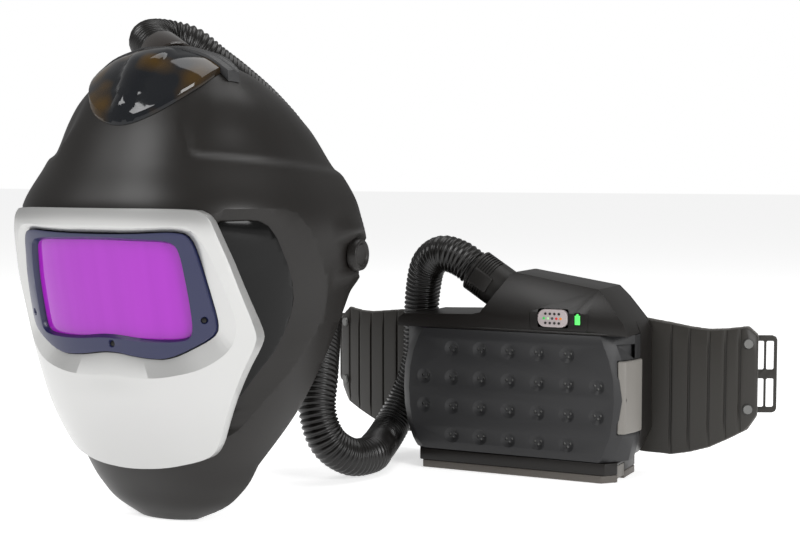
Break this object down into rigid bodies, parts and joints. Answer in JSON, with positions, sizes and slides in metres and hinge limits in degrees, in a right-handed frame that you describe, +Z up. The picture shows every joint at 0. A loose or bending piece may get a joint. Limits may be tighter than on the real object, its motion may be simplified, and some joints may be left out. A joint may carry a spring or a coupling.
{
  "type": "powered air respirator",
  "caption": "Welding helmet with auto-darkening filter, side windows and head harness, fed through a corrugated tube by a belt-worn blower with filter cover, battery and waist belt.",
  "frame": {"origin": "middle of the whole object's base, breathing tube left out", "axes": "+Z up; helmet and blower both face -Y; +X runs from the helmet to the blower"},
  "size_m": [0.5324, 0.4872, 0.3988],
  "materials": {
    "shell_plastic": "satin moulded black",
    "silver_paint": "silver metallic paint",
    "bezel_blue": "dark blue gloss",
    "filter_magenta": "polished",
    "clear_plate": "polished",
    "smoke_gloss": "polished",
    "inner_plastic": "satin",
    "soft_cloth": "knitted",
    "steel": "satin",
    "blower_plastic": "satin moulded black",
    "cover_plastic": "satin dark grey",
    "taupe_plastic": "satin",
    "button_rubber": "matte",
    "lamp_green": "lit green",
    "filter_media": "pleated",
    "seal_rubber": "matte",
    "fan_plastic": "satin",
    "motor_metal": "machined",
    "board_green": "solder mask",
    "contact_brass": "plated",
    "belt_plastic": "satin",
    "tube_rubber": "satin"
  },
  "bodies": {
    "root": {"helmet_shell": "shell_plastic", "crown_lip": "shell_plastic", "front_cover": "silver_paint", "filter_bezel": "bezel_blue", "filter_glass": "filter_magenta", "outer_plate": "clear_plate", "inner_plate": "clear_plate", "side_window_left": "smoke_gloss", "side_window_right": "smoke_gloss", "air_duct": "smoke_gloss", "hose_collar": "smoke_gloss", "filter_cassette": "inner_plastic", "pivot_spacer_left": "inner_plastic", "pivot_spacer_right": "inner_plastic", "face_seal": "soft_cloth", "belt_pad_left": "soft_cloth", "belt_pad_right": "soft_cloth", "pivot_bolt_left": "steel", "pivot_bolt_right": "steel", "rivet_left_high": "steel", "rivet_left_low": "steel", "rivet_right_high": "steel", "rivet_right_low": "steel", "blower_housing": "blower_plastic", "rear_plate": "blower_plastic", "battery_pack": "blower_plastic", "battery_strip": "taupe_plastic", "battery_lamp": "lamp_green", "particle_filter": "filter_media", "filter_gasket": "seal_rubber", "fan_scroll": "fan_plastic", "fan_motor": "motor_metal", "circuit_board": "board_green", "battery_contacts": "contact_brass", "belt_wing_left": "belt_plastic", "belt_wing_right": "belt_plastic", "end_tab_left": "belt_plastic", "end_tab_right": "belt_plastic", "breathing_tube": "tube_rubber"},
    "harness": {"headband": "inner_plastic", "crown_strap_front": "inner_plastic", "crown_strap_rear": "inner_plastic", "sweatband": "soft_cloth", "ratchet_housing": "inner_plastic"},
    "ratchet": {"ratchet_knob": "inner_plastic"},
    "cap_left": {"pivot_cap_left": "shell_plastic"},
    "cap_right": {"pivot_cap_right": "shell_plastic"},
    "deflector": {"airflow_deflector": "inner_plastic"},
    "cover": {"filter_cover": "cover_plastic", "hinge_pin": "steel", "spark_arrestor": "steel", "prefilter": "filter_media"},
    "latch": {"cover_latch": "taupe_plastic"},
    "catch": {"battery_catch": "taupe_plastic"},
    "button": {"power_button": "button_rubber"},
    "fan": {"impeller": "fan_plastic"},
    "cuff": {"hose_cuff": "blower_plastic"}
  },
  "joints": [
    {"name": "headband_tilt", "type": "hinge", "parent": "root", "child": "harness", "pos_m": [-0.1322, -0.07385, 0.207], "axis": [1, 0, 0], "range_deg": [0, 55]},
    {"name": "ratchet_turn", "type": "hinge", "parent": "harness", "child": "ratchet", "pos_m": [-0.1322, 0.03715, 0.224], "axis": [0, 1, 0], "continuous": true},
    {"name": "pivot_cap_left_turn", "type": "hinge", "parent": "root", "child": "cap_left", "pos_m": [-0.2622, -0.07385, 0.207], "axis": [-1, 0, 0], "range_deg": [-90, 90]},
    {"name": "pivot_cap_right_turn", "type": "hinge", "parent": "root", "child": "cap_right", "pos_m": [-0.0022, -0.07385, 0.207], "axis": [1, 0, 0], "range_deg": [-90, 90]},
    {"name": "deflector_tilt", "type": "hinge", "parent": "root", "child": "deflector", "pos_m": [-0.1322, -0.17585, 0.292], "axis": [1, 0, 0], "range_deg": [-20, 25]},
    {"name": "cover_open", "type": "hinge", "parent": "root", "child": "cover", "pos_m": [-0.0522, 0.14415, 0.074], "axis": [0, 0, -1], "range_deg": [0, 25]},
    {"name": "cover_latch_pull", "type": "hinge", "parent": "cover", "child": "latch", "pos_m": [0.1564, 0.13815, 0.076], "axis": [0, 0, -1], "range_deg": [0, 20], "stiffness_Nm_per_rad": 0.05},
    {"name": "battery_catch_press", "type": "slide", "parent": "root", "child": "catch", "axis": [-1, 0, 0], "range_m": [0, 0.002], "stiffness_N_per_m": 300},
    {"name": "power_press", "type": "slide", "parent": "root", "child": "button", "axis": [0, 1, 0], "range_m": [0, 0.001], "stiffness_N_per_m": 300},
    {"name": "impeller_spin", "type": "hinge", "parent": "root", "child": "fan", "pos_m": [0.1058, 0.16515, 0.076], "axis": [0, 1, 0], "continuous": true},
    {"name": "cuff_twist", "type": "hinge", "parent": "root", "child": "cuff", "pos_m": [0.0348, 0.14715, 0.163], "axis": [-0.841, 0, 0.541], "range_deg": [0, 60]}
  ]
}
